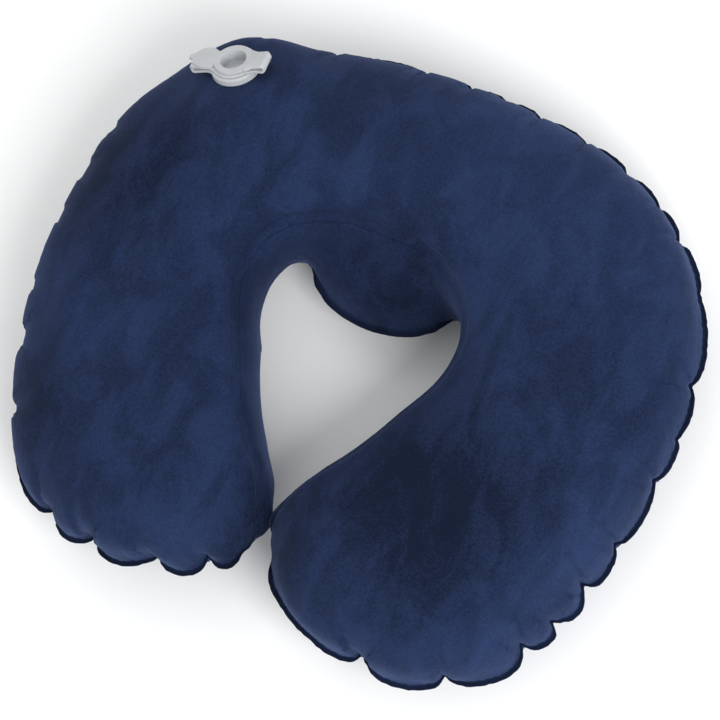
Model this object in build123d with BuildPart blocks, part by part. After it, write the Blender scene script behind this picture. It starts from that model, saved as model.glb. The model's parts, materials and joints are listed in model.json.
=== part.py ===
from build123d import *
import os
from math import cos, radians, sin

# Inflatable U-shaped neck pillow, lying on its bottom face.
# +X points to the wearer's right arm of the U, +Y to the closed end behind the neck, +Z up.
# The origin is on the ground under the middle of the pillow. All sizes are in millimetres.

# Overall sizes
overall_width = 450.0
overall_depth = 380.0
thickness = 104.0

# The laminated skin, PVC film with its pile, and the welds that join the three panels
skin = 1.2
rim_width = 8.0
edge_round = 50.0
neck_seam_height = 82.0
neck_rim_height = 36.0
neck_rim_width = 6.0

# Outline of the inflated body inside the rim: a hull round circles on both sides
crown_radius = 150.0
shoulder_radius = 112.0
shoulder_from_side = 8.0
shoulder_from_back = 14.0
flank_radius = 150.0
flank_y = -15.0
tip_radius = 89.0
tip_from_side = 22.0

# Neck opening: a hull round two circles at the nape and one at the throat, then the gap
nape_radius = 48.0
nape_half_span = 22.0
nape_y = 12.0
throat_radius = 20.0
throat_y = -75.0
arm_gap = 8.0
throat_lip_round = 52.0
tip_corner_round = 60.0
neck_panel_reach = 25.0

# Nape bulge: the cushion behind the neck that stands out below the top panel
bulge_radius = 75.0
bulge_depth = 40.0
bulge_thickness = 56.0
bulge_round = 27.5

# Valve seat on the left shoulder of the body, leaning outwards with the skin
valve_bearing = 112.0
valve_lean = 27.0
valve_strap_turn = 11.0
land_rise = 0.8
land_margin = 0.5
land_depth = 12.0

# Valve base and its weld flange
base_bore = 12.0
base_radius = base_bore + 4.2
base_height = 5.0
base_edge_round = 1.5
base_fit = 0.05
flange_radius = base_radius + 3.8
flange_thickness = 0.8

# Clearances in the valve
bore_clearance = 0.1
stack_gap = 0.1

# Inflation plug: middle ring, cup and perforated floor
plug_ring_radius = base_bore + 2.7
ring_thickness = 1.8
ring_edge_round = 0.5
plug_bore = base_bore - 1.5
plug_straight = 2.0
plug_tip_radius = base_bore - 1.5
plug_depth = 9.9
plug_floor = 1.2
plug_floor_bore = base_bore - 2.8
air_hole_radius = 1.6
air_hole_circle = 0.45 * base_bore
air_holes = 6

# One-way diaphragm under the plug's floor
diaphragm_radius = base_bore - 3.6
diaphragm_thickness = 0.6
diaphragm_travel = 1.5
stem_radius = 1.1
stem_clearance = 0.05
stem_head_radius = 1.9
stem_head_height = 1.1
seat_gap = 0.05

# Stopper: top ring, cup, neck and pull tab
stopper_ring_radius = plug_bore + 2.6
stopper_straight = 1.4
stopper_tip_radius = plug_bore - 1.3
stopper_depth = 7.4
recess_radius = plug_bore - 1.7
recess_tip_radius = recess_radius - 1.2
recess_floor = 1.2
recess_round = 1.2
tab_radius = 9.3
tab_reach = stopper_ring_radius + 5.9
tab_thickness = ring_thickness
tab_neck_width = 9.5
nib_length = 2.8
nib_width = 3.0

# Straps moulded with the rings, each folded back on itself round a loop
strap_width = 15.0
strap_thickness = ring_thickness - 0.1
strap_fit = 0.05
strap_root = 1.6
plug_hinge_reach = base_radius + 10.8
stopper_hinge_reach = plug_ring_radius + 6.8
stopper_hinge_rise = 0.8
loop_inner_radius = 1.3

# Heights in the valve, from the outer face of the skin
plug_ring_base = base_height + stack_gap
plug_ring_top = plug_ring_base + ring_thickness
stopper_ring_base = plug_ring_top + stack_gap
stopper_ring_top = stopper_ring_base + ring_thickness
plug_floor_bottom = base_height - plug_depth
plug_floor_top = plug_floor_bottom + plug_floor

# The plug strap's loop lies just under the pull tab, the stopper strap's just above the base
loop_outer_radius = loop_inner_radius + strap_thickness
plug_hinge_height = stopper_ring_base - stack_gap - loop_outer_radius
stopper_hinge_height = plug_ring_top + stopper_hinge_rise

body_half_width = overall_width / 2 - rim_width
body_half_depth = overall_depth / 2 - rim_width
rim_height = thickness / 2

crown_y = body_half_depth - crown_radius
shoulder_x = body_half_width - shoulder_from_side - shoulder_radius
shoulder_y = body_half_depth - shoulder_from_back - shoulder_radius
flank_x = body_half_width - flank_radius
tip_x = body_half_width - tip_from_side - tip_radius
tip_y = tip_radius - body_half_depth
tip_corner_x = arm_gap / 2 + tip_corner_round
tip_corner_y = tip_corner_round - body_half_depth
bulge_y = nape_y + nape_radius - bulge_depth + bulge_radius


def at(x, y):
    """The two places that mirror each other across the middle of the pillow."""
    return Locations((x, y), (-x, y))


def outer_face(grow):
    """Convex outline of the whole pillow, grown outwards by a distance."""
    with BuildSketch() as face:
        with Locations((0, crown_y)):
            Circle(crown_radius + grow)
        with at(shoulder_x, shoulder_y):
            Circle(shoulder_radius + grow)
        with at(flank_x, flank_y):
            Circle(flank_radius + grow)
        with at(tip_x, tip_y):
            Circle(tip_radius + grow)
        make_hull()
    return face.sketch


def neck_face(grow):
    """Outline of the neck opening without the gap, grown into the body by a distance."""
    with BuildSketch() as face:
        with at(nape_half_span, nape_y):
            Circle(nape_radius + grow)
        with Locations((0, throat_y)):
            Circle(throat_radius + grow)
        make_hull()
    return face.sketch


def gap_face(grow):
    """Strip between the two arm tips, from the throat out past the front of the pillow."""
    with BuildSketch() as face:
        with Locations((0, throat_y)):
            Rectangle(arm_gap + 2 * grow, overall_depth, align=(Align.CENTER, Align.MAX))
    return face.sketch


def body_face(inset):
    """Outline of the inflated body, seen from above, shrunk by an inset."""
    with BuildSketch() as face:
        add(outer_face(-inset))
        add(neck_face(inset), mode=Mode.SUBTRACT)
        add(gap_face(inset), mode=Mode.SUBTRACT)
        gap_corners = face.vertices().filter_by(lambda v: abs(abs(v.X) - arm_gap / 2 - inset) < 0.01)
        fillet(gap_corners.group_by(Axis.Y)[0], tip_corner_round - inset)
        gap_corners = face.vertices().filter_by(lambda v: abs(abs(v.X) - arm_gap / 2 - inset) < 0.01)
        fillet(gap_corners.group_by(Axis.Y)[-1], throat_lip_round - inset)
    return face.sketch


lean = radians(valve_lean)
bearing = radians(valve_bearing)
valve_out = shoulder_radius - edge_round + edge_round * sin(lean)
valve_normal = Vector(cos(bearing) * sin(lean), sin(bearing) * sin(lean), cos(lean))
valve_crest = Vector(
    -shoulder_x + valve_out * cos(bearing),
    shoulder_y + valve_out * sin(bearing),
    thickness - edge_round + edge_round * cos(lean),
)
strap_line = Vector(cos(radians(valve_strap_turn)), sin(radians(valve_strap_turn)), 0)
strap_line = (strap_line - valve_normal * strap_line.dot(valve_normal)).normalized()
valve_plane = Plane(valve_crest + valve_normal * land_rise, x_dir=strap_line, z_dir=valve_normal)
land_radius = flange_radius + skin + land_margin


def body_solid(inset):
    """The inflated body as a solid, its surface moved inwards by an inset."""
    with BuildPart() as solid:
        with BuildSketch(Plane.XY.offset(inset)):
            add(body_face(inset))
        extrude(amount=thickness - 2 * inset)
        fillet(solid.faces().sort_by(Axis.Z)[-1].edges(), edge_round - inset)
        fillet(solid.faces().sort_by(Axis.Z)[0].edges(), edge_round - inset)
        add(bulge_solid(inset))
        # The flat land that the stiff weld flange makes round the valve
        with BuildSketch(valve_plane.offset(-inset)):
            Circle(land_radius - inset)
        extrude(amount=land_depth, mode=Mode.SUBTRACT)
        with BuildSketch(valve_plane.offset(-inset)):
            Circle(land_radius - inset)
        extrude(amount=-land_depth)
    return solid.part


def bulge_solid(inset):
    """The round nape bulge as a solid, its surface moved inwards by an inset."""
    with BuildPart() as solid:
        with BuildSketch(Plane.XY.offset(neck_rim_height - bulge_thickness / 2 + inset)):
            with Locations((0, bulge_y)):
                Circle(bulge_radius - inset)
        extrude(amount=bulge_thickness - 2 * inset)
        fillet(solid.edges().filter_by(GeomType.CIRCLE), bulge_round - inset)
    return solid.part


with BuildPart() as skin_shell:
    add(body_solid(0))
    add(body_solid(skin), mode=Mode.SUBTRACT)

# The wall round the neck opening that the neck panel covers
with BuildPart() as neck_zone:
    with BuildSketch(Plane.XY.offset(neck_rim_height)):
        add(neck_face(neck_panel_reach))
        add(gap_face(neck_panel_reach))
    extrude(amount=neck_seam_height - neck_rim_height)

# The outer weld rim as seen from above, from one arm tip round to the other
with BuildSketch() as rim_face:
    add(outer_face(rim_width))
    with Locations((0, tip_corner_y)):
        Rectangle(2 * tip_corner_x, overall_depth, align=(Align.CENTER, Align.MAX), mode=Mode.SUBTRACT)
    with at(tip_corner_x, tip_corner_y):
        Circle(tip_corner_round + rim_width)
    add(neck_face(neck_panel_reach), mode=Mode.SUBTRACT)
    add(gap_face(neck_panel_reach), mode=Mode.SUBTRACT)
    add(body_face(skin / 2), mode=Mode.SUBTRACT)

# The weld rim along the front of the nape bulge
with BuildSketch() as neck_rim_face:
    with Locations((0, bulge_y)):
        Circle(bulge_radius + neck_rim_width)
        Circle(bulge_radius - skin / 2, mode=Mode.SUBTRACT)
    add(neck_face(0), mode=Mode.INTERSECT)

# Top panel: the upper skin with the upper half of the outer rim and the hole for the valve
with BuildPart() as top_panel:
    add(skin_shell.part)
    split(bisect_by=Plane.XY.offset(rim_height), keep=Keep.TOP)
    add(neck_zone.part, mode=Mode.SUBTRACT)
    with BuildSketch(Plane.XY.offset(rim_height)):
        add(rim_face.sketch)
    extrude(amount=skin)
    with BuildSketch(valve_plane):
        Circle(base_radius + base_fit)
    extrude(amount=-land_depth / 2, mode=Mode.SUBTRACT)
top_panel.part.label = "top_panel"

# Bottom panel: the lower skin that the pillow rests on, with the lower halves of both rims
with BuildPart() as bottom_panel:
    add(skin_shell.part)
    split(bisect_by=Plane.XY.offset(rim_height), keep=Keep.BOTTOM)
    add(neck_zone.part, mode=Mode.SUBTRACT)
    with BuildSketch(Plane.XY.offset(rim_height)):
        add(rim_face.sketch)
    extrude(amount=-skin)
    with BuildSketch(Plane.XY.offset(neck_rim_height)):
        add(neck_rim_face.sketch)
    extrude(amount=-skin)
bottom_panel.part.label = "bottom_panel"

# Neck panel: the wall round the neck opening, from the top seam down to its own weld rim
with BuildPart() as neck_panel:
    add(skin_shell.part)
    add(neck_zone.part, mode=Mode.INTERSECT)
    with BuildSketch(Plane.XY.offset(neck_rim_height)):
        add(neck_rim_face.sketch)
    extrude(amount=skin)
neck_panel.part.label = "neck_panel"

# The valve's own section plane: across the straps, through the valve's axis
section = Plane(valve_plane.origin, x_dir=valve_plane.x_dir, z_dir=-valve_plane.y_dir)
valve_axis = Axis(valve_plane.origin, valve_plane.z_dir)

# Valve base: a ring that stands on the skin, with its weld flange under the skin
with BuildPart() as valve_base:
    with BuildSketch(section):
        with BuildLine():
            Polyline(
                (base_bore, -skin - flange_thickness),
                (flange_radius, -skin - flange_thickness),
                (flange_radius, -skin),
                (base_radius, -skin),
                (base_radius, base_height),
                (base_bore, base_height),
                close=True,
            )
        make_face()
    revolve(axis=valve_axis)
    fillet(valve_base.faces().sort_by(valve_axis)[-1].edges().sort_by(SortBy.RADIUS)[-1], base_edge_round)
valve_base.part.label = "valve_base"

# Inflation plug: a ring on top of the base and a cup in its bore, tapered so that it tips out
with BuildPart() as inflation_plug:
    with BuildSketch(section):
        with BuildLine():
            Polyline(
                (0, plug_floor_bottom),
                (plug_tip_radius, plug_floor_bottom),
                (base_bore - bore_clearance, base_height - plug_straight),
                (base_bore - bore_clearance, plug_ring_base),
                (plug_ring_radius, plug_ring_base),
                (plug_ring_radius, plug_ring_top),
                (plug_bore, plug_ring_top),
                (plug_bore, base_height - plug_straight),
                (plug_floor_bore, plug_floor_top),
                (0, plug_floor_top),
                close=True,
            )
        make_face()
    revolve(axis=valve_axis)
    fillet(inflation_plug.edges().filter_by(GeomType.CIRCLE).group_by(SortBy.RADIUS)[-1], ring_edge_round)
    with BuildSketch(valve_plane.offset(plug_floor_bottom)):
        Circle(stem_radius + stem_clearance)
        with PolarLocations(air_hole_circle, air_holes):
            Circle(air_hole_radius)
    extrude(amount=plug_floor, mode=Mode.SUBTRACT)
inflation_plug.part.label = "inflation_plug"

# One-way diaphragm: a thin disc under the plug's floor, held by a headed stem through it
head_base = plug_floor_top + diaphragm_travel + seat_gap
disc_top = plug_floor_bottom - seat_gap
with BuildPart() as check_diaphragm:
    with BuildSketch(section):
        with BuildLine():
            Polyline(
                (0, disc_top - diaphragm_thickness),
                (diaphragm_radius, disc_top - diaphragm_thickness),
                (diaphragm_radius, disc_top),
                (stem_radius, disc_top),
                (stem_radius, head_base),
                (stem_head_radius, head_base),
                (stem_radius, head_base + stem_head_height),
                (0, head_base + stem_head_height),
                close=True,
            )
        make_face()
    revolve(axis=valve_axis)
check_diaphragm.part.label = "check_diaphragm"

# Stopper: a ring and a hollow cup that closes the plug, with a round pull tab and its nib
stopper_tip = plug_ring_top - stopper_depth
with BuildPart() as stopper:
    with BuildSketch(section):
        with BuildLine():
            Polyline(
                (0, stopper_tip),
                (stopper_tip_radius, stopper_tip),
                (plug_bore - bore_clearance, plug_ring_top - stopper_straight),
                (plug_bore - bore_clearance, stopper_ring_base),
                (stopper_ring_radius, stopper_ring_base),
                (stopper_ring_radius, stopper_ring_top),
                (recess_radius, stopper_ring_top),
                (recess_tip_radius, stopper_tip + recess_floor),
                (0, stopper_tip + recess_floor),
                close=True,
            )
        make_face()
    revolve(axis=valve_axis)
    recess_edges = stopper.edges().filter_by(GeomType.CIRCLE).sort_by(SortBy.RADIUS)
    fillet(recess_edges[0], recess_round)
    with BuildSketch(valve_plane.offset(stopper_ring_base)):
        with Locations((-tab_reach, 0)):
            Circle(tab_radius)
        with Locations((-(stopper_ring_radius + recess_radius) / 2, 0)):
            Rectangle(tab_reach - recess_radius, tab_neck_width, align=(Align.MAX, Align.CENTER))
        with BuildLine():
            Polyline(
                (-tab_reach, tab_radius),
                (-tab_reach - tab_radius - nib_length, nib_width / 2),
                (-tab_reach - tab_radius - nib_length, -nib_width / 2),
                (-tab_reach, -nib_width),
                close=True,
            )
        make_face()
    extrude(amount=tab_thickness)
stopper.part.label = "stopper"


def strap(side, reach, hinge_height, low_ring_radius, low_ring_top, high_ring_radius, high_ring_base):
    """A folded strap: a ply on the lower ring, an open loop round the hinge line, a ply on the upper."""
    hinge_x = side * reach
    low_root = side * (low_ring_radius - strap_root)
    high_root = side * (high_ring_radius - strap_root)
    with BuildPart() as folded:
        with BuildSketch(section):
            with Locations((hinge_x, hinge_height)):
                Circle(loop_outer_radius)
                Circle(loop_inner_radius, mode=Mode.SUBTRACT)
                Rectangle(
                    loop_outer_radius,
                    2 * loop_outer_radius,
                    align=(Align.MIN if side < 0 else Align.MAX, Align.CENTER),
                    mode=Mode.SUBTRACT,
                )
            with BuildLine():
                Polyline(
                    (hinge_x, hinge_height - loop_inner_radius),
                    (hinge_x, hinge_height - loop_outer_radius),
                    (low_root, low_ring_top - strap_thickness),
                    (low_root, low_ring_top),
                    close=True,
                )
            make_face()
            with BuildLine():
                Polyline(
                    (hinge_x, hinge_height + loop_inner_radius),
                    (hinge_x, hinge_height + loop_outer_radius),
                    (high_root, high_ring_base + strap_thickness),
                    (high_root, high_ring_base),
                    close=True,
                )
            make_face()
        extrude(amount=strap_width / 2, both=True)
        with BuildSketch(valve_plane):
            Circle(low_ring_radius + strap_fit)
        extrude(amount=low_ring_top + stack_gap / 2, mode=Mode.SUBTRACT)
        with BuildSketch(valve_plane.offset(high_ring_base - stack_gap / 2)):
            Circle(high_ring_radius + strap_fit)
        extrude(amount=land_depth, mode=Mode.SUBTRACT)
    return folded.part


# Plug strap: joins the base, on its left, to the inflation plug
with BuildPart() as plug_strap:
    add(
        strap(
            -1,
            plug_hinge_reach,
            plug_hinge_height,
            base_radius,
            base_height,
            plug_ring_radius,
            plug_ring_base,
        )
    )
plug_strap.part.label = "plug_strap"

# Stopper strap: joins the inflation plug, on its right, to the stopper
with BuildPart() as stopper_strap:
    add(
        strap(
            1,
            stopper_hinge_reach,
            stopper_hinge_height,
            plug_ring_radius,
            plug_ring_top,
            stopper_ring_radius,
            stopper_ring_base,
        )
    )
stopper_strap.part.label = "stopper_strap"

pieces = [
    top_panel,
    bottom_panel,
    neck_panel,
    valve_base,
    plug_strap,
    inflation_plug,
    check_diaphragm,
    stopper_strap,
    stopper,
]

os.makedirs("parts", exist_ok=True)
for piece in pieces:
    export_step(piece.part, f"parts/{piece.part.label}.step")

# Where the valve's hinges and slide are, in the pillow's own frame
plug_hinge = valve_plane.from_local_coords((-plug_hinge_reach, 0, plug_hinge_height))
stopper_hinge = valve_plane.from_local_coords((stopper_hinge_reach, 0, stopper_hinge_height))
print("plug hinge", plug_hinge)
print("stopper hinge", stopper_hinge)
print("hinge line", valve_plane.y_dir)
print("valve seat", valve_plane.origin)
print("valve axis", valve_plane.z_dir)
print("strap line", valve_plane.x_dir)
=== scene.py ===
import json
import math

import bmesh
import bpy
import numpy as np
from mathutils import Matrix, Vector
from mathutils.bvhtree import BVHTree
from mathutils.kdtree import KDTree


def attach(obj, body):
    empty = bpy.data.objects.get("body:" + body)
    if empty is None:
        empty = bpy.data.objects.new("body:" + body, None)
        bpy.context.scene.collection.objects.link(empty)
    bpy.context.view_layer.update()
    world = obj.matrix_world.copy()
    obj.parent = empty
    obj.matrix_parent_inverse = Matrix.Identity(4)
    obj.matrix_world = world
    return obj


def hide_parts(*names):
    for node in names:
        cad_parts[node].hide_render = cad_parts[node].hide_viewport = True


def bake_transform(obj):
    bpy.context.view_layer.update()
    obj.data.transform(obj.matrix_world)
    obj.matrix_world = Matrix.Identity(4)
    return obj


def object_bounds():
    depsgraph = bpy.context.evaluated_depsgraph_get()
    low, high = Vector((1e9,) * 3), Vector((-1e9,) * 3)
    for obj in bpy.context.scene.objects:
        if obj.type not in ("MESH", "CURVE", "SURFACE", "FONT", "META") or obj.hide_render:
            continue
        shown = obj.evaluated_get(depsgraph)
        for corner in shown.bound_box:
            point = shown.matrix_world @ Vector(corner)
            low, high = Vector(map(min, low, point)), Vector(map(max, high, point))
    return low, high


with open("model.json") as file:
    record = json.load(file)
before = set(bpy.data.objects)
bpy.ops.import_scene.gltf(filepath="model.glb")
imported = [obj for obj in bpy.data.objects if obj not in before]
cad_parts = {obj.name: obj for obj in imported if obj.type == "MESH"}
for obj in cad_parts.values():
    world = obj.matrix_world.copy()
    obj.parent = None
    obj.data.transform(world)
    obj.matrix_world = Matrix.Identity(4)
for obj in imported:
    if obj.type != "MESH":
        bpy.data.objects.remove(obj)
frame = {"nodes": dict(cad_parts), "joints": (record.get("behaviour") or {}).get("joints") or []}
cad_low, cad_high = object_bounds()
scene = bpy.context.scene
MM = 0.001


# ---- Skin: the cut panels -------------------------------------------------------------------
# The real skin is PVC film flocked with short velour pile, cut flat as a top, a bottom and a
# neck panel. Each line is drawn from the nape round to one arm tip, and mirrored for the other.
GRAIN = 5.2 * MM
OUTER_CUT = [(0, 201), (61, 197), (119, 183), (168, 155), (205, 113), (227, 57), (237, -8),
             (238, -66), (230, -124), (210, -168), (172, -196), (118, -205), (78, -197), (54, -168)]
TOP_SEAM_CUT = [(0, 65), (32, 61), (61, 45), (76, 20), (73, -12), (66, -38), (64, -62),
                (63, -86), (52, -108), (41, -128), (43, -148), (54, -168)]
NECK_WELD_CUT = [(0, 7), (28, 11), (54, 27), (73, 14), (73, -12), (67, -38), (67, -62),
                 (70, -86), (58, -108), (44, -128), (44, -148), (54, -168)]
SEAM_RISE = 30 * MM
WELD_DROP = 16 * MM
NECK_TAPER = 0.22
PUCKERS = 34
UNEVENNESS = ((0.9, 9.2, 0.6), (0.45, 23.0, 0), (0.2, 61, 0))
PUCKER_DEPTH = 6.5 * MM


def drawn_line(half_line, spacing):
    """A smooth line through given points and their mirror images, in equal steps."""
    points = [(-x, y) for x, y in reversed(half_line[1:])] + half_line
    curve = bpy.data.curves.new("line", "CURVE")
    curve.resolution_u = 24
    spline = curve.splines.new("BEZIER")
    spline.bezier_points.add(len(points) - 1)
    for knot, (x, y) in zip(spline.bezier_points, points):
        knot.co = (x * MM, y * MM, 0)
        knot.handle_left_type = knot.handle_right_type = "AUTO"
    holder = bpy.data.objects.new("line", curve)
    scene.collection.objects.link(holder)
    mesh = bpy.data.meshes.new_from_object(holder)
    bpy.data.objects.remove(holder)
    path = np.array([v.co[:] for v in mesh.vertices])
    along = np.r_[0, np.cumsum(np.linalg.norm(np.diff(path, axis=0), axis=1))]
    steps = spacing if isinstance(spacing, int) else int(round(along[-1] / spacing))
    place = np.linspace(0, along[-1], steps + 1)
    return np.stack([np.interp(place, along, path[:, k]) for k in range(3)], 1)


def puckered(line):
    """The outer cut with rounded lobes, which is how the weld gathers as the pillow fills."""
    t = np.linspace(0, 1, len(line))
    ahead = np.gradient(line, axis=0)
    ahead /= np.linalg.norm(ahead, axis=1)[:, None]
    outward = np.stack([ahead[:, 1], -ahead[:, 0], 0 * t], 1)
    outward *= np.sign((outward * line).sum(1).mean())
    beat = PUCKERS * t
    for amount, rate, start in UNEVENNESS:
        beat = beat + amount * np.sin(rate * t + start)
    lobe = np.abs(np.sin(np.pi * beat)) ** 0.8
    at_tips = np.clip((np.abs(2 * t - 1) - 0.5) / 0.3, 0, 1)
    ends = np.clip(np.minimum(t, 1 - t) * 60, 0, 1)
    return line + outward * ((lobe - 0.7) * PUCKER_DEPTH * (0.22 + 0.78 * at_tips) * ends)[:, None]


def fill_panel(loop_points):
    """A flat panel of even triangles inside a closed outline."""
    panel = bmesh.new()
    corners = [panel.verts.new(p) for p in loop_points]
    edges = [panel.edges.new((a, b)) for a, b in zip(corners, corners[1:] + corners[:1])]
    bmesh.ops.triangle_fill(panel, edges=edges, use_beauty=True, use_dissolve=False)
    for _ in range(12):
        inner = [e for e in panel.edges if not e.is_boundary]
        long_edges = [e for e in inner if e.calc_length() > 1.45 * GRAIN]
        if long_edges:
            bmesh.ops.subdivide_edges(panel, edges=long_edges, cuts=1)
        bmesh.ops.triangulate(panel, faces=panel.faces[:])
        bmesh.ops.beautify_fill(panel, faces=panel.faces[:],
                                edges=[e for e in panel.edges if not e.is_boundary])
        for _ in range(3):
            bmesh.ops.smooth_vert(panel, verts=[v for v in panel.verts if not v.is_boundary],
                                  factor=0.6, use_axis_x=True, use_axis_y=True, use_axis_z=True)
    return panel


def lifted(panel, height_of_edge, plateau):
    """The panel with its edges at their starting heights and a smooth rise between them."""
    for v in panel.verts:
        v.co.z = height_of_edge(v) if v.is_boundary else plateau
    inside = [v for v in panel.verts if not v.is_boundary]
    for _ in range(60):
        bmesh.ops.smooth_vert(panel, verts=inside, factor=0.8,
                              use_axis_x=False, use_axis_y=False, use_axis_z=True)
    return panel


outer_line = puckered(drawn_line(OUTER_CUT, GRAIN))
seam_line = drawn_line(TOP_SEAM_CUT, GRAIN)
neck_line = drawn_line(NECK_WELD_CUT, len(seam_line) - 1)
outer_line[0], outer_line[-1] = seam_line[0], seam_line[-1]
share = np.linspace(0, 1, len(seam_line))
wall = np.clip(2 * np.minimum(share, 1 - share) / NECK_TAPER, 0, 1) ** 0.6
seam_line[:, 2] = SEAM_RISE * wall
neck_line[:, 2] = -WELD_DROP * wall


def edge_heights(inner_line):
    """Looks up the starting height of a point on a panel's edge."""
    edge = KDTree(len(inner_line) + len(outer_line))
    points = np.r_[inner_line, outer_line]
    for i, (x, y, _) in enumerate(points):
        edge.insert((x, y, 0), i)
    edge.balance()
    return lambda v: points[edge.find((v.co.x, v.co.y, 0))[1]][2]


flat = (1, 1, 0)
top_cut = lifted(fill_panel(np.r_[outer_line, seam_line[-2:0:-1] * flat]),
                 edge_heights(seam_line), SEAM_RISE)
bottom_cut = lifted(fill_panel(np.r_[outer_line, neck_line[-2:0:-1] * flat]),
                    edge_heights(neck_line), -SEAM_RISE)

# The neck panel is filled as a flat strip and then stood up between its two lines
strip_width = np.linalg.norm(seam_line - neck_line, axis=1)
middle = (seam_line + neck_line) / 2
strip_along = np.r_[0, np.cumsum(np.linalg.norm(np.diff(middle, axis=0), axis=1))]
upper_edge = np.stack([strip_along, strip_width / 2, 0 * strip_along], 1)
lower_edge = upper_edge * (1, -1, 1)
neck_cut = fill_panel(np.r_[upper_edge, lower_edge[-2:0:-1]])
for v in neck_cut.verts:
    place = np.array([np.interp(v.co.x, strip_along, strip_width),
                      *[np.interp(v.co.x, strip_along, seam_line[:, k]) for k in range(3)],
                      *[np.interp(v.co.x, strip_along, neck_line[:, k]) for k in range(3)]])
    down = 0.5 - v.co.y / place[0] if place[0] > 0 else 0.5
    v.co = place[1:4] * (1 - down) + place[4:7] * down

# The three cuts are welded along their shared lines into one closed, empty skin
skin = bmesh.new()
panel_of = skin.faces.layers.int.new("panel")
for number, cut in enumerate((top_cut, bottom_cut, neck_cut)):
    before = len(skin.faces)
    loose = bpy.data.meshes.new("cut")
    cut.to_mesh(loose)
    cut.free()
    skin.from_mesh(loose)
    skin.faces.ensure_lookup_table()
    for face in skin.faces[before:]:
        face[panel_of] = number
bmesh.ops.remove_doubles(skin, verts=[v for v in skin.verts if v.is_boundary], dist=0.2 * MM)
bmesh.ops.recalc_face_normals(skin, faces=skin.faces[:])
if skin.calc_volume(signed=True) < 0:
    bmesh.ops.reverse_faces(skin, faces=skin.faces[:])


# ---- Skin: filling with air -------------------------------------------------------------------
# Air pressure rounds the flat panels into a firm body. The film bends but hardly stretches, so
# the weld is drawn in and gathers into puckers, as it does on the real pillow.
AIR_PRESSURE = 9.0
FILL_FRAMES = 30
FLOOR_SINK = 4.0 * MM
FLOOR_EASE = 12.0 * MM
RIM = 4.6 * MM
FILLING = 0.8
WELD_REACH = 5 * MM
WELD_BLEND = 34 * MM
HEIGHT = 103.5 * MM
LEANS = [(1, (14, -132), (-9, 0), 60), (-1, (-24, -132), (10, -6), 42)]
FULLNESS = 1.35
HALF_GAP = 2.6 * MM
GAP_EASE = 2.0 * MM
NAPE_FRONT = -20 * MM
NAPE_FIRMNESS = 3.5
SEAM_EVENING = 40
EVENING = ((34 * MM, 30), (22 * MM, 8), (12 * MM, 2))
LAST_EVENING = (16 * MM, 10)

arm_side = np.array([math.copysign(1, v.co.x) for v in skin.verts])
skin_mesh = bpy.data.meshes.new("skin")
skin.to_mesh(skin_mesh)
skin.free()
blown = bpy.data.objects.new("skin", skin_mesh)
scene.collection.objects.link(blown)
film = blown.modifiers.new("Air", "CLOTH").settings
film.quality = 6
film.mass = 0.3
film.air_damping = 1.0
film.tension_stiffness = 80
film.compression_stiffness = 30
film.shear_stiffness = 20
film.bending_stiffness = 5.0
film.tension_damping = film.compression_damping = film.shear_damping = 5
film.use_pressure = True
film.uniform_pressure_force = AIR_PRESSURE
film.effector_weights.gravity = 0
blown.modifiers["Air"].collision_settings.use_collision = False
blown.modifiers["Air"].point_cache.frame_start = 1
blown.modifiers["Air"].point_cache.frame_end = FILL_FRAMES
for step in range(1, FILL_FRAMES + 1):
    scene.frame_set(step)
ready = bpy.context.evaluated_depsgraph_get()
filled = bpy.data.meshes.new_from_object(blown.evaluated_get(ready))
bpy.data.objects.remove(blown)

place = np.array([v.co[:] for v in filled.vertices])
half_width = cad_high.x - RIM
half_depth = cad_high.y - RIM
place[:, 0] *= half_width / np.abs(place[:, 0]).max()
low_y, high_y = place[:, 1].min(), place[:, 1].max()
place[:, 1] = (place[:, 1] - low_y) / (high_y - low_y) * 2 * half_depth - half_depth
low_z, high_z = place[:, 2].min(), place[:, 2].max()
lift = (place[:, 2] - low_z) / (high_z - low_z) * (HEIGHT + FLOOR_SINK)
lift = np.where(lift < FLOOR_EASE, lift ** 2 / (2 * FLOOR_EASE), lift - FLOOR_EASE / 2)
lift /= lift.max()
above = np.clip(2 * lift - 1, 0, 1)
place[:, 2] = np.where(lift > 0.5, 0.5 + 0.5 * (1 - (1 - above) ** FULLNESS), lift) * HEIGHT

# The arms lie close beside each other without touching
from_gap = arm_side * place[:, 0] - HALF_GAP
place[:, 0] = arm_side * (HALF_GAP + GAP_EASE * np.logaddexp(0, from_gap / GAP_EASE))

# The inner corners of both arm tips lean a little more towards each other
for arm, (tip_x, tip_y), (lean_x, lean_y), reach in LEANS:
    from_tip = np.hypot(place[:, 0] / MM - tip_x, place[:, 1] / MM - tip_y) / reach
    share = np.clip(1 - from_tip ** 2, 0, 1) ** 2 * (arm_side == arm)
    place[:, 0] += lean_x * MM * share
    place[:, 1] += lean_y * MM * share
filled.vertices.foreach_set("co", place.ravel())

# The full film carries no slack away from the welds, so its small waves are drawn out
body = bmesh.new()
body.from_mesh(filled)
panel_of = body.faces.layers.int["panel"]


def joins(edge, first, second):
    """True for an edge on the weld between two of the panels."""
    return {f[panel_of] for f in edge.link_faces} == {first, second}


def near(points):
    """A finder for the nearest of some points."""
    finder = KDTree(len(points))
    for i, point in enumerate(points):
        finder.insert(point, i)
    finder.balance()
    return finder


def chained(edges):
    """The vertices of an open chain of edges, in order."""
    links = {}
    for e in edges:
        for v in e.verts:
            links.setdefault(v, []).append(e)
    here = min((v for v in links if len(links[v]) == 1), key=lambda v: v.co.x)
    chain, came = [here], None
    while True:
        onward = [e for e in links[here] if e is not came]
        if not onward:
            return chain
        came = onward[0]
        here = came.other_vert(here)
        chain.append(here)


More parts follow.
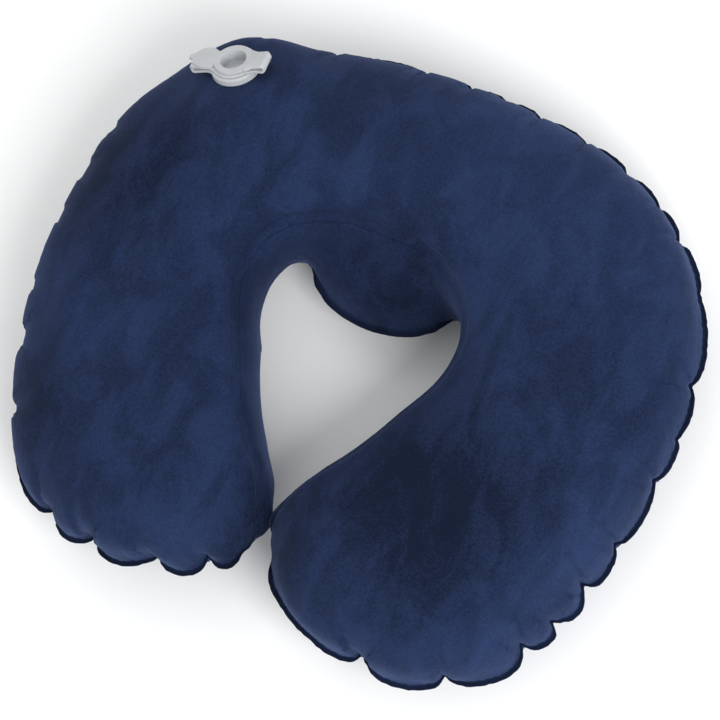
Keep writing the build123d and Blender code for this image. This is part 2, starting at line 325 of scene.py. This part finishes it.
seam_chain = chained([e for e in body.edges if joins(e, 0, 2)])
for _ in range(SEAM_EVENING):
    for before, v, after in zip(seam_chain, seam_chain[1:], seam_chain[2:]):
        v.co = v.co * 0.5 + (before.co + after.co) * 0.25
seam_verts = set(seam_chain)
outer_weld = near([v.co.copy() for e in body.edges if joins(e, 0, 1) for v in e.verts])
nape_weld = near([v.co.copy() for e in body.edges if joins(e, 1, 2) for v in e.verts
                  if v.co.y > NAPE_FRONT])
from_weld = [min(outer_weld.find(v.co)[2], NAPE_FIRMNESS * nape_weld.find(v.co)[2])
             for v in body.verts]
for reach, rounds in EVENING:
    free = [v for v in body.verts if from_weld[v.index] > reach and v not in seam_verts]
    for _ in range(rounds):
        bmesh.ops.smooth_vert(body, verts=free, factor=0.6,
                              use_axis_x=True, use_axis_y=True, use_axis_z=True)

# Full of air, the body comes out to the CAD body's section everywhere but close to its weld
walls = bmesh.new()
for node in ("top_panel", "bottom_panel", "neck_panel"):
    walls.from_mesh(frame["nodes"][node].data)
full_shape = BVHTree.FromBMesh(walls)
walls.free()
for v in body.verts:
    pull = FILLING * min(1, max(0, (outer_weld.find(v.co)[2] - WELD_REACH) / WELD_BLEND))
    v.co = v.co.lerp(full_shape.find_nearest(v.co)[0], pull)
reach, rounds = LAST_EVENING
free = [v for v in body.verts if from_weld[v.index] > reach]
for _ in range(rounds):
    bmesh.ops.smooth_vert(body, verts=free, factor=0.6,
                          use_axis_x=True, use_axis_y=True, use_axis_z=True)
body.to_mesh(filled)
body.free()
rounded = bpy.data.objects.new("rounded", filled)
scene.collection.objects.link(rounded)
finer = rounded.modifiers.new("Finer", "SUBSURF")
finer.levels = finer.render_levels = 1
body = bmesh.new()
body.from_mesh(bpy.data.meshes.new_from_object(
    rounded.evaluated_get(bpy.context.evaluated_depsgraph_get())))
bpy.data.objects.remove(rounded)
panel_of = body.faces.layers.int["panel"]
body.normal_update()


# ---- Skin: seams, puckers and the land for the valve --------------------------------------------
# The top and neck panels are joined by a narrow flat weld that lies in a soft valley. Each pucker
# of the outer weld runs on into both panels as a short crease. The valve's flange keeps the film
# round it flat, and the film dips under the plug's strap.
SEAM_VALLEY = 2.1 * MM
SEAM_WIDTH = 5.0 * MM
OVERHANG = 7.5 * MM
OVERHANG_REACH = 56 * MM
CREASE_LENGTH = 24 * MM
CREASE_WIDTH = 2.3 * MM
CREASE_DEPTH = 4.2 * MM
LAND_RADIUS = 22 * MM
LAND_BLEND = 60 * MM
VALVE_HOLE = 15.9 * MM
SETTLE_REACH = 45 * MM
STRAP_DIP = 4.2 * MM
DIP_START = (20 * MM, 26 * MM)
DIP_END = (36 * MM, 60 * MM)
PLUG_REACH = 27.0 * MM
PLUG_RISE = 3.9 * MM

joints = {j["name"]: j for j in frame["joints"]}
valve_side = Vector(joints["stopper_hinge"]["axis"]).normalized()
valve_axis = -Vector(joints["diaphragm_slide"]["axis"]).normalized()
strap_line = valve_side.cross(valve_axis).normalized()
valve_seat = (Vector(joints["plug_hinge"]["pos_m"]) + strap_line * PLUG_REACH
              - valve_axis * PLUG_RISE)
valve_turn = Matrix((strap_line, valve_side, valve_axis)).transposed()
valve_place = Matrix.Translation(valve_seat) @ valve_turn.to_4x4()
to_valve = valve_place.inverted()


def eased(value, start, end):
    """Goes smoothly from 0 at start to 1 at end."""
    t = min(max((value - start) / (end - start), 0), 1)
    return t * t * (3 - 2 * t)


outer_chain = chained([e for e in body.edges if joins(e, 0, 1)])
seam_finder = near([v.co.copy() for e in body.edges if joins(e, 0, 2) for v in e.verts])
chain_place = np.array([v.co[:] for v in outer_chain])
chain_out = np.array([v.normal[:] for v in outer_chain])
for _ in range(3):
    chain_out[1:-1] = (chain_out[:-2] + 2 * chain_out[1:-1] + chain_out[2:]) / 4
chain_out /= np.linalg.norm(chain_out, axis=1)[:, None]
wide = np.ones(15) / 15
smooth_place = np.stack([np.convolve(np.pad(chain_place[:, k], 7, "edge"), wide, "valid")
                         for k in range(3)], 1)
bulge = ((chain_place - smooth_place) * chain_out).sum(1)
notches = [i for i in range(6, len(bulge) - 6)
           if bulge[i] == bulge[i - 5:i + 6].min() and bulge[i] < -0.2 * MM]
notch_finder = near([Vector(chain_place[i]) for i in notches])
weld_finder = near([Vector(p) for p in chain_place])

fullness = np.clip(1 + bulge / (4 * MM), 0.5, 1)
moves = []
for v in body.verts:
    move = Vector()
    seam_gap = seam_finder.find(v.co)[2]
    move -= v.normal * SEAM_VALLEY * math.exp(-(seam_gap / SEAM_WIDTH) ** 2)
    _, at, gap = notch_finder.find(v.co)
    if gap < CREASE_LENGTH:
        i = notches[at]
        ahead = Vector(chain_place[i + 1] - chain_place[i - 1]).normalized()
        offset = v.co - Vector(chain_place[i])
        aside = abs(offset.dot(ahead))
        tip = 0.35 + 0.65 * eased(-chain_place[i, 1], 0, 90 * MM)
        depth = CREASE_DEPTH * tip * min(1, -bulge[i] / (1.2 * MM)) * (1 - gap / CREASE_LENGTH)
        move -= v.normal * depth * math.exp(-(aside / CREASE_WIDTH) ** 2)
    _, at, gap = weld_finder.find(v.co)
    if gap < OVERHANG_REACH:
        fading = min(1, at / 20, (len(outer_chain) - 1 - at) / 20)
        move += (Vector(chain_out[at]) * OVERHANG * fading * fullness[at]
                 * math.sin(math.pi * gap / OVERHANG_REACH))
    spot = to_valve @ (v.co + move)
    reach = math.hypot(spot.x, spot.y)
    if spot.z > -40 * MM and reach < LAND_BLEND:
        move += valve_axis * (-spot.z) * (1 - eased(reach, LAND_RADIUS, LAND_BLEND))
        under_strap = max(0, -spot.x / max(reach, MM)) ** 2
        move -= (valve_axis * STRAP_DIP * under_strap * eased(reach, *DIP_START)
                 * (1 - eased(reach, *DIP_END)))
    moves.append(move)
for v, move in zip(body.verts, moves):
    v.co += move
for _ in range(2):
    bmesh.ops.smooth_vert(body, verts=[v for v in body.verts
                                       if seam_finder.find(v.co)[2] < 9 * MM
                                       and weld_finder.find(v.co)[2] > 8 * MM],
                          factor=0.5, use_axis_x=True, use_axis_y=True, use_axis_z=True)

# It rests on its underside, which is pressed flat there
lowest = min(v.co.z for v in body.verts)
for v in body.verts:
    v.co.z -= lowest * (1 - eased(v.co.z, 0, SETTLE_REACH))
body.normal_update()


# ---- Skin: the weld fins and the finished panels -------------------------------------------------
# Outside the weld both films run on as a narrow flat fin. It stands out round the lobes and is
# pinched at each pucker. The bottom panel also carries a fin along the front of the nape bulge.
FILM = 0.8 * MM
FIN_WIDTH = 2.9 * MM
NAPE_FIN = 4.5 * MM
NAPE_HALF = 56 * MM
FIN_ROWS = ((0.45, 1.0), (1.0, 0.75))


def finned(panel, chain, outward, widths, upward):
    """Runs a panel's film on past the weld as a fin of two rows."""
    row = chain
    ahead = np.gradient(np.array([v.co[:] for v in chain]), axis=0)
    rise = np.cross(outward, ahead)
    rise /= np.linalg.norm(rise, axis=1)[:, None]
    rise *= np.sign(rise[:, 2:3]) * upward
    start = [v.co.copy() for v in chain]
    for share, lip in FIN_ROWS:
        edges = [panel.edges.get((a, b)) for a, b in zip(row[:-1], row[1:])]
        grown = bmesh.ops.extrude_edge_only(panel, edges=edges)["geom"]
        new_verts = [g for g in grown if isinstance(g, bmesh.types.BMVert)]
        finder = near([v.co.copy() for v in row])
        following = [None] * len(row)
        for v in new_verts:
            following[finder.find(v.co)[1]] = v
        for i, v in enumerate(following):
            v.co = start[i] + Vector(outward[i] * widths[i] * share + rise[i] * FILM * lip)
            v[rim_mark] = 1.0
        row = following


def panel_piece(name, number):
    """A panel of the filled skin as a piece of its own, still open at its welds."""
    mesh = bpy.data.meshes.new(name)
    body.to_mesh(mesh)
    piece = bmesh.new()
    piece.from_mesh(mesh)
    layer = piece.faces.layers.int["panel"]
    bmesh.ops.delete(piece, geom=[f for f in piece.faces if f[layer] != number],
                     context="FACES")
    return mesh, piece


def welded(panel, points):
    """The panel's own vertices along a weld, in the weld's order."""
    edge_verts = [v for v in panel.verts if v.is_boundary]
    finder = near([v.co.copy() for v in edge_verts])
    return [edge_verts[finder.find(p)[1]] for p in points]


outer_points = [v.co.copy() for v in outer_chain]
pinch = np.clip(1 + bulge / (5 * MM), 0.8, 1.15)
ends = np.clip(np.minimum(np.arange(len(pinch)), np.arange(len(pinch))[::-1]) / 9, 0.05, 1)
fin_widths = FIN_WIDTH * pinch * ends * (1 + 0.05 * np.sin(np.arange(len(pinch)) * 2.1))
nape_edges = [e for e in body.edges if joins(e, 1, 2)
              and all(v.co.y > NAPE_FRONT and abs(v.co.x) < NAPE_HALF for v in e.verts)]
nape_chain = chained(nape_edges)
nape_points = [v.co.copy() for v in nape_chain]
nape_out = np.array([v.normal[:] for v in nape_chain])
for _ in range(6):
    nape_out[1:-1] = (nape_out[:-2] + 2 * nape_out[1:-1] + nape_out[2:]) / 4
nape_out /= np.linalg.norm(nape_out, axis=1)[:, None]
nape_share = np.linspace(0, 1, len(nape_chain))
nape_widths = NAPE_FIN * np.clip(8 * np.minimum(nape_share, 1 - nape_share), 0.05, 1)

panels = {}
for number, name in enumerate(("top_panel", "bottom_panel", "neck_panel")):
    mesh, piece = panel_piece(name, number)
    rim_mark = piece.verts.layers.float.new("rim")
    seam_mark = piece.verts.layers.float.new("seam")
    if name != "neck_panel":
        finned(piece, welded(piece, outer_points), chain_out, fin_widths,
               1 if name == "top_panel" else -1)
    if name != "top_panel":
        finned(piece, welded(piece, nape_points), nape_out, nape_widths,
               1 if name == "neck_panel" else -1)
    if name == "top_panel":
        bmesh.ops.delete(piece, geom=[v for v in piece.verts
                                      if abs((to_valve @ v.co).z) < 20 * MM
                                      and (to_valve @ v.co).xy.length < VALVE_HOLE - 1.2 * MM],
                         context="VERTS")
        for v in piece.verts:
            spot = to_valve @ v.co
            if v.is_boundary and abs(spot.z) < 20 * MM and spot.xy.length < LAND_RADIUS:
                spot.xy *= VALVE_HOLE / spot.xy.length
                v.co = valve_place @ spot
    for v in piece.verts:
        v[seam_mark] = seam_finder.find(v.co)[2]
    bmesh.ops.recalc_face_normals(piece, faces=piece.faces[:])
    outside = sum(f.normal.z * f.calc_area() for f in piece.faces)
    if name == "neck_panel":
        outside = sum(f.normal.x * (-f.calc_center_median().x) * f.calc_area()
                      for f in piece.faces)
    if outside * (-1 if name == "bottom_panel" else 1) < 0:
        bmesh.ops.reverse_faces(piece, faces=piece.faces[:])
    for e in piece.edges:
        e.smooth = not e.is_boundary
    piece.to_mesh(mesh)
    piece.free()
    mesh.polygons.foreach_set("use_smooth", [True] * len(mesh.polygons))
    panel = bpy.data.objects.new(name + "_skin", mesh)
    scene.collection.objects.link(panel)
    film_wall = panel.modifiers.new("Film", "SOLIDIFY")
    film_wall.thickness = FILM
    film_wall.offset = -1
    panels[name] = panel
body.free()


# ---- Skin: velour pile ---------------------------------------------------------------------------
# Short navy flock stands on the film. Where it has been brushed one way it looks lighter, the
# other way darker, and the pile catches light at grazing angles. The fused fins are flatter.
# The list below holds the middles and reaches of places painted darker: partly darker brushed nap,
# partly painted shade.
PILE_LIT = (0.0185, 0.034, 0.096, 1)
PILE_DARK = (0.0030, 0.0072, 0.022, 1)
DARK_NAP_AND_SHADE = [((0.095, -0.075, 0.095), 0.105), ((-0.195, 0.06, 0.075), 0.13),
           ((-0.17, -0.11, 0.06), 0.09), ((0.02, 0.06, 0.05), 0.075), ((0.02, -0.14, 0.06), 0.08)]


def shader_group(name, inputs, outputs):
    """An empty shader group with the named sockets."""
    group = bpy.data.node_groups.new(name, "ShaderNodeTree")
    for label, kind, value in inputs:
        group.interface.new_socket(label, in_out="INPUT", socket_type=kind).default_value = value
    for label, kind in outputs:
        group.interface.new_socket(label, in_out="OUTPUT", socket_type=kind)
    return group, group.nodes.new("NodeGroupInput"), group.nodes.new("NodeGroupOutput")


def noise_node(tree, scale, detail, roughness=0.5, distortion=0.0):
    """A noise texture with its numbers set."""
    node = tree.nodes.new("ShaderNodeTexNoise")
    node.inputs["Scale"].default_value = scale
    node.inputs["Detail"].default_value = detail
    node.inputs["Roughness"].default_value = roughness
    node.inputs["Distortion"].default_value = distortion
    return node


def math_node(tree, operation, first, second=None, clamp=False):
    """A sum of one or two sockets or numbers."""
    node = tree.nodes.new("ShaderNodeMath")
    node.operation = operation
    node.use_clamp = clamp
    for socket, value in zip(node.inputs, (first, second)):
        if isinstance(value, bpy.types.NodeSocket):
            tree.links.new(value, socket)
        elif value is not None:
            socket.default_value = value
    return node.outputs[0]


def ranged(tree, value, low, high, to_low=0.0, to_high=1.0, smooth=True):
    """A value moved from one range to another, and held inside it."""
    node = tree.nodes.new("ShaderNodeMapRange")
    node.interpolation_type = "SMOOTHSTEP" if smooth else "LINEAR"
    tree.links.new(value, node.inputs["Value"])
    for label, number in (("From Min", low), ("From Max", high),
                          ("To Min", to_low), ("To Max", to_high)):
        node.inputs[label].default_value = number
    return node.outputs["Result"]


# The pile's tone: random nap patches and grain, darkened at the listed places by painted shade.
pile, pile_in, pile_out = shader_group(
    "pile_nap_and_painted_shade",
    [("Coords", "NodeSocketVector", (0, 0, 0))],
    [("Shade", "NodeSocketFloat"), ("Height", "NodeSocketFloat")])
stretch = pile.nodes.new("ShaderNodeMapping")
stretch.inputs["Scale"].default_value = (1.0, 0.55, 1.0)
stretch.inputs["Rotation"].default_value = (0.0, 0.0, 0.5)
pile.links.new(pile_in.outputs["Coords"], stretch.inputs["Vector"])
patches = noise_node(pile, 42, 5, 0.62, 0.6)
sweeps = noise_node(pile, 9, 2, 0.5, 0.3)
grain = noise_node(pile, 640, 3, 0.7)
fibres = noise_node(pile, 2600, 1, 0.5)
for node in (patches, sweeps):
    pile.links.new(stretch.outputs["Vector"], node.inputs["Vector"])
for node in (grain, fibres):
    pile.links.new(pile_in.outputs["Coords"], node.inputs["Vector"])
patch_shade = ranged(pile, patches.outputs["Fac"], 0.36, 0.66)
sweep_shade = ranged(pile, sweeps.outputs["Fac"], 0.35, 0.65)
grain_shade = ranged(pile, grain.outputs["Fac"], 0.30, 0.70, smooth=False)
broad = math_node(pile, "ADD", math_node(pile, "MULTIPLY", patch_shade, 0.32),
                  math_node(pile, "MULTIPLY", sweep_shade, 0.24))
shade = math_node(pile, "ADD", broad, math_node(pile, "MULTIPLY", grain_shade, 0.44))
shade = math_node(pile, "ADD", shade, 0.08)
# Each listed place pulls the pile towards its dark tone: painted shade together with darker nap.
for centre, reach in DARK_NAP_AND_SHADE:
    away = pile.nodes.new("ShaderNodeVectorMath")
    away.operation = "DISTANCE"
    pile.links.new(pile_in.outputs["Coords"], away.inputs[0])
    away.inputs[1].default_value = centre
    nap_and_shade_spot = ranged(pile, away.outputs["Value"], 0.1 * reach, reach, 0.45, 0.0)
    shade = math_node(pile, "SUBTRACT", shade, nap_and_shade_spot)
shade = math_node(pile, "MAXIMUM", shade, 0.0, True)
pile.links.new(shade, pile_out.inputs["Shade"])
height = math_node(pile, "ADD", math_node(pile, "MULTIPLY", grain.outputs["Fac"], 0.6),
                   math_node(pile, "MULTIPLY", fibres.outputs["Fac"], 0.4))
pile.links.new(height, pile_out.inputs["Height"])

velour = bpy.data.materials.new("velour")
velour.use_nodes = True
tree = velour.node_tree
surface = tree.nodes["Principled BSDF"]
surface.inputs["Roughness"].default_value = 0.92
surface.inputs["Specular IOR Level"].default_value = 0.12
surface.inputs["Sheen Weight"].default_value = 0.22
surface.inputs["Sheen Roughness"].default_value = 0.42
surface.inputs["Sheen Tint"].default_value = (0.30, 0.42, 0.85, 1)
coords = tree.nodes.new("ShaderNodeTexCoord")
pile_nap_and_shade_node = tree.nodes.new("ShaderNodeGroup")
pile_nap_and_shade_node.node_tree = pile
tree.links.new(coords.outputs["Object"], pile_nap_and_shade_node.inputs["Coords"])
tone = tree.nodes.new("ShaderNodeMix")
tone.data_type = "RGBA"
tone.inputs["A"].default_value = PILE_DARK
tone.inputs["B"].default_value = PILE_LIT
# The tone mix carries the painted shade of the listed places as well as the random nap.
tree.links.new(pile_nap_and_shade_node.outputs["Shade"], tone.inputs["Factor"])
rim_node = tree.nodes.new("ShaderNodeAttribute")
rim_node.attribute_name = "rim"
seam_node = tree.nodes.new("ShaderNodeAttribute")
seam_node.attribute_name = "seam"
weld_line = ranged(tree, seam_node.outputs["Fac"], 0.0, 1.3 * MM, 1, 0)
from_edge = math_node(tree, "ABSOLUTE",
                      math_node(tree, "SUBTRACT", seam_node.outputs["Fac"], 4.2 * MM))
edge_line = ranged(tree, from_edge, 0.0, 1.1 * MM, 1, 0)
seam_dark = math_node(tree, "MAXIMUM", weld_line, math_node(tree, "MULTIPLY", edge_line, 0.6))
flattened = math_node(tree, "MAXIMUM",
                      math_node(tree, "MULTIPLY", rim_node.outputs["Fac"], 0.85),
                      math_node(tree, "MULTIPLY", seam_dark, 0.6), True)
darker = tree.nodes.new("ShaderNodeMix")
darker.data_type = "RGBA"
darker.blend_type = "MULTIPLY"
darker.inputs["B"].default_value = (0.28, 0.28, 0.32, 1)
tree.links.new(flattened, darker.inputs["Factor"])
tree.links.new(tone.outputs["Result"], darker.inputs["A"])
tree.links.new(darker.outputs["Result"], surface.inputs["Base Color"])
relief = math_node(tree, "SUBTRACT", pile_nap_and_shade_node.outputs["Height"],
                   math_node(tree, "MULTIPLY", seam_dark, 1.2))
bump = tree.nodes.new("ShaderNodeBump")
bump.inputs["Strength"].default_value = 0.8
bump.inputs["Distance"].default_value = 0.5 * MM
tree.links.new(relief, bump.inputs["Height"])
tree.links.new(bump.outputs["Normal"], surface.inputs["Normal"])

for name, panel in panels.items():
    panel.data.materials.clear()
    panel.data.materials.append(velour)
    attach(panel, "pillow")
    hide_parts(name)


# ---- Valve: base, plug, stopper and diaphragm ----------------------------------------------------
# Soft pale grey vinyl mouldings: a welded base, the inflation plug in it and the stopper on top.
# They are slightly translucent, with a satin skin and a faint mould texture.
VINYL = (0.475, 0.49, 0.505, 1)
VINYL_SHADE = (0.38, 0.395, 0.415, 1)

moulded, moulded_in, moulded_out = shader_group(
    "moulded_skin",
    [("Coords", "NodeSocketVector", (0, 0, 0))],
    [("Clouding", "NodeSocketFloat"), ("Height", "NodeSocketFloat")])
cloud = noise_node(moulded, 140, 3, 0.55)
orange = noise_node(moulded, 1500, 2, 0.5)
for node in (cloud, orange):
    moulded.links.new(moulded_in.outputs["Coords"], node.inputs["Vector"])
moulded.links.new(ranged(moulded, cloud.outputs["Fac"], 0.35, 0.7),
                  moulded_out.inputs["Clouding"])
moulded.links.new(math_node(moulded, "ADD",
                            math_node(moulded, "MULTIPLY", cloud.outputs["Fac"], 0.6),
                            math_node(moulded, "MULTIPLY", orange.outputs["Fac"], 0.25)),
                  moulded_out.inputs["Height"])


def vinyl(name, light, shade, rough, cloudy=0.35):
    """Satin vinyl in one tone, with soft clouding and fine moulding texture."""
    material = bpy.data.materials.new(name)
    material.use_nodes = True
    tree = material.node_tree
    surface = tree.nodes["Principled BSDF"]
    surface.inputs["Specular IOR Level"].default_value = 0.42
    surface.inputs["Subsurface Weight"].default_value = 0.18
    surface.inputs["Subsurface Radius"].default_value = (1.0, 1.0, 1.1)
    surface.inputs["Subsurface Scale"].default_value = 1.2 * MM
    coords = tree.nodes.new("ShaderNodeTexCoord")
    skin_group = tree.nodes.new("ShaderNodeGroup")
    skin_group.node_tree = moulded
    tree.links.new(coords.outputs["Object"], skin_group.inputs["Coords"])
    tone = tree.nodes.new("ShaderNodeMix")
    tone.data_type = "RGBA"
    tone.inputs["A"].default_value = light
    tone.inputs["B"].default_value = shade
    tree.links.new(math_node(tree, "MULTIPLY", skin_group.outputs["Clouding"], cloudy),
                   tone.inputs["Factor"])
    tree.links.new(tone.outputs["Result"], surface.inputs["Base Color"])
    tree.links.new(ranged(tree, skin_group.outputs["Clouding"], 0, 1, rough, rough + 0.12),
                   surface.inputs["Roughness"])
    bump = tree.nodes.new("ShaderNodeBump")
    bump.inputs["Strength"].default_value = 0.25
    bump.inputs["Distance"].default_value = 0.25 * MM
    tree.links.new(skin_group.outputs["Height"], bump.inputs["Height"])
    tree.links.new(bump.outputs["Normal"], surface.inputs["Normal"])
    return material


valve_vinyl = vinyl("valve_vinyl", VINYL, VINYL_SHADE, 0.34)
thin_vinyl = vinyl("diaphragm_vinyl", (0.58, 0.60, 0.61, 1), (0.48, 0.50, 0.52, 1), 0.28, 0.2)
for node in ("valve_base", "inflation_plug", "stopper"):
    frame["nodes"][node].data.materials.clear()
    frame["nodes"][node].data.materials.append(valve_vinyl)
frame["nodes"]["check_diaphragm"].data.materials.clear()
frame["nodes"]["check_diaphragm"].data.materials.append(thin_vinyl)


# ---- Valve: the two straps -----------------------------------------------------------------------
# Each strap is moulded in one with the two rings it joins. It runs out from the lower ring, turns
# back on itself in an open loop and comes in to the upper ring. On the real strap only the loop
# bends; here it is cut as a piece of its own.
STRAP_WIDTH = 15.0 * MM
STRAP_PLY = 1.7 * MM
LOOP_INSIDE = 1.3 * MM
LOOP_STEPS = 12
STOPPER_REACH = 21.5 * MM
STOPPER_RISE = 7.7 * MM
SUNK = 0.06 * MM
FLARE = 0.26
FLARE_RUN = 7.5 * MM
FOLD_NARROWING = 0.22


def folded_strap(name, side, reach, rise, low_root, low_top, high_root, high_base):
    """A lower ply, a half loop and an upper ply, shaped in the valve's own axes."""
    low_top -= SUNK
    high_base += SUNK
    strap = bmesh.new()
    section = [(low_root, low_top - STRAP_PLY), (low_root, low_top)]
    foot = [strap.verts.new((side * x, y, z)) for y in (-STRAP_WIDTH / 2, STRAP_WIDTH / 2)
            for x, z in (section if y < 0 else section[::-1])]
    face = strap.faces.new(foot)
    middle = LOOP_INSIDE + STRAP_PLY / 2

    def run_to(face, x, z):
        """Extrudes the ply on to a new end, keeping its section upright."""
        grown = bmesh.ops.extrude_face_region(strap, geom=[face])["geom"]
        verts = [g for g in grown if isinstance(g, bmesh.types.BMVert)]
        centre = sum((v.co for v in verts), Vector()) / len(verts)
        bmesh.ops.translate(strap, verts=verts, vec=Vector((side * x, 0, z)) - centre)
        return next(g for g in grown if isinstance(g, bmesh.types.BMFace))

    for part in (0.1, 0.2, 0.3, 0.4, 0.5, 0.75, 1.0):
        x = low_root + (reach - low_root) * part
        z = (low_top - STRAP_PLY / 2) * (1 - part) + (rise - middle) * part
        face = run_to(face, x, z)
    turned = bmesh.ops.spin(strap, geom=[face], cent=(side * reach, 0, rise),
                            axis=(0, -side, 0), dvec=(0, 0, 0), angle=math.pi,
                            steps=LOOP_STEPS, use_merge=False, use_duplicate=False)["geom_last"]
    face = next(g for g in turned if isinstance(g, bmesh.types.BMFace))
    for part in (0.25, 0.5, 0.6, 0.7, 0.8, 0.9, 1.0):
        x = reach + (high_root - reach) * part
        z = (rise + middle) * (1 - part) + (high_base + STRAP_PLY / 2) * part
        face = run_to(face, x, z)
    bmesh.ops.delete(strap, geom=[f for f in strap.faces
                                  if any(len(e.link_faces) > 2 for e in f.edges)
                                  and all(len(e.link_faces) > 2 for e in f.edges)],
                     context="FACES_ONLY")
    for v in strap.verts:
        root = low_root if v.co.z < rise else high_root
        out = abs(v.co.x)
        flare = FLARE * (1 - eased(out, root, root + FLARE_RUN)) ** 2
        fold = max(0, out - reach) / (LOOP_INSIDE + STRAP_PLY)
        v.co.y *= 1 + flare - FOLD_NARROWING * fold ** 2
    bmesh.ops.recalc_face_normals(strap, faces=strap.faces[:])
    edges = [e for e in strap.edges if len(e.link_faces) == 2 and e.calc_face_angle(0) > 1.0]
    bmesh.ops.bevel(strap, geom=edges, offset=0.35 * MM, offset_type="OFFSET", segments=2,
                    profile=0.5, affect="EDGES", material=-1)
    whole = bpy.data.meshes.new(name)
    strap.to_mesh(whole)
    strap.free()
    between_roots = (low_top + high_base) / 2

    def length_of(face):
        """Which of the three lengths a face belongs to."""
        middle = face.calc_center_median()
        out = (abs(middle.x) - low_root) / (reach - low_root)
        if out > 1:
            return "loop"
        return "lower" if middle.z < between_roots * (1 - out) + rise * out else "upper"

    pieces = {}
    for length in ("lower", "loop", "upper"):
        cut = bmesh.new()
        cut.from_mesh(whole)
        bmesh.ops.delete(cut, geom=[f for f in cut.faces if length_of(f) != length],
                         context="FACES")
        ends = [e for e in cut.edges if e.is_boundary]
        bmesh.ops.holes_fill(cut, edges=ends, sides=0)
        for e in ends:
            e.smooth = False
        bmesh.ops.transform(cut, matrix=valve_place, verts=cut.verts[:])
        mesh = bpy.data.meshes.new(name + "_" + length)
        cut.to_mesh(mesh)
        cut.free()
        mesh.polygons.foreach_set("use_smooth", [True] * len(mesh.polygons))
        mesh.materials.append(valve_vinyl)
        pieces[length] = bpy.data.objects.new(name + "_" + length, mesh)
        scene.collection.objects.link(pieces[length])
    return pieces


def hinged(strap, low_body, high_body, node):
    """The plies stay with their own rings; the loop between them is baked in place on its own."""
    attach(strap["lower"], low_body)
    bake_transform(strap["loop"])
    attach(strap["upper"], high_body)
    for length in strap.values():
        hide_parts(node)


plug_strap = folded_strap("plug_strap_fold", -1, PLUG_REACH, PLUG_RISE,
                          12.6 * MM, 5.0 * MM, 11.3 * MM, 5.1 * MM)
hinged(plug_strap, "pillow", "plug", "plug_strap")

stopper_strap = folded_strap("stopper_strap_fold", 1, STOPPER_REACH, STOPPER_RISE,
                             11.3 * MM, 6.9 * MM, 10.0 * MM, 7.0 * MM)
hinged(stopper_strap, "plug", "stopper", "stopper_strap")


# ---- Floor, light and camera ---------------------------------------------------------------------
# The pillow lies on a plain pale sheet under large soft lamps, and is seen from above with a long
# lens, leaning over its right arm.
SHEET = (0.93, 0.935, 0.94, 1)
VIEW_TILT = math.radians(20)
VIEW_BEARING = math.radians(-20.8)
VIEW_ROLL_UP = Vector((-0.41, 0.91, 0))
VIEW_DISTANCE = 1.535
AIM_ASIDE = 7.7 * MM
AIM_UP = -9.6 * MM

sheet_bm = bmesh.new()
bmesh.ops.create_grid(sheet_bm, x_segments=8, y_segments=8, size=3.0)
sheet_mesh = bpy.data.meshes.new("sheet")
sheet_bm.to_mesh(sheet_mesh)
sheet_bm.free()
sheet_mesh.transform(Matrix.Translation((0, 0, -0.3 * MM)))
floor = bpy.data.objects.new("floor", sheet_mesh)
scene.collection.objects.link(floor)
paper = bpy.data.materials.new("paper")
paper.use_nodes = True
paper.node_tree.nodes["Principled BSDF"].inputs["Base Color"].default_value = SHEET
paper.node_tree.nodes["Principled BSDF"].inputs["Roughness"].default_value = 0.9
sheet_mesh.materials.append(paper)

world = bpy.data.worlds.new("studio")
world.use_nodes = True
world.node_tree.nodes["Background"].inputs["Color"].default_value = (1, 1, 1, 1)
world.node_tree.nodes["Background"].inputs["Strength"].default_value = 0.75
scene.world = world


def soft_lamp(name, place, size, power):
    """A square softbox that faces the middle of the pillow."""
    data = bpy.data.lights.new(name, "AREA")
    data.shape = "SQUARE"
    data.size = size
    data.energy = power
    lamp = bpy.data.objects.new(name, data)
    scene.collection.objects.link(lamp)
    lamp.location = place
    facing = Vector((0, 0, 0.05)) - Vector(place)
    lamp.rotation_euler = facing.to_track_quat("-Z", "Y").to_euler()


soft_lamp("key", (1.25, -0.55, 1.35), 0.9, 26)
soft_lamp("fill", (-0.9, 1.2, 1.5), 1.6, 7)

toward = Vector((math.sin(VIEW_TILT) * math.cos(VIEW_BEARING),
                 math.sin(VIEW_TILT) * math.sin(VIEW_BEARING), math.cos(VIEW_TILT)))
upward = (VIEW_ROLL_UP - toward * VIEW_ROLL_UP.dot(toward)).normalized()
rightward = upward.cross(toward)
lens = bpy.data.cameras.new("camera")
lens.lens = 120
camera = bpy.data.objects.new("camera", lens)
scene.collection.objects.link(camera)
aim = Vector((0, 0, 0.052)) + rightward * AIM_ASIDE + upward * AIM_UP
camera.matrix_world = (Matrix.Translation(aim + toward * VIEW_DISTANCE)
                       @ Matrix((rightward, upward, toward)).transposed().to_4x4())
scene.camera = camera
scene.view_settings.view_transform = "Standard"
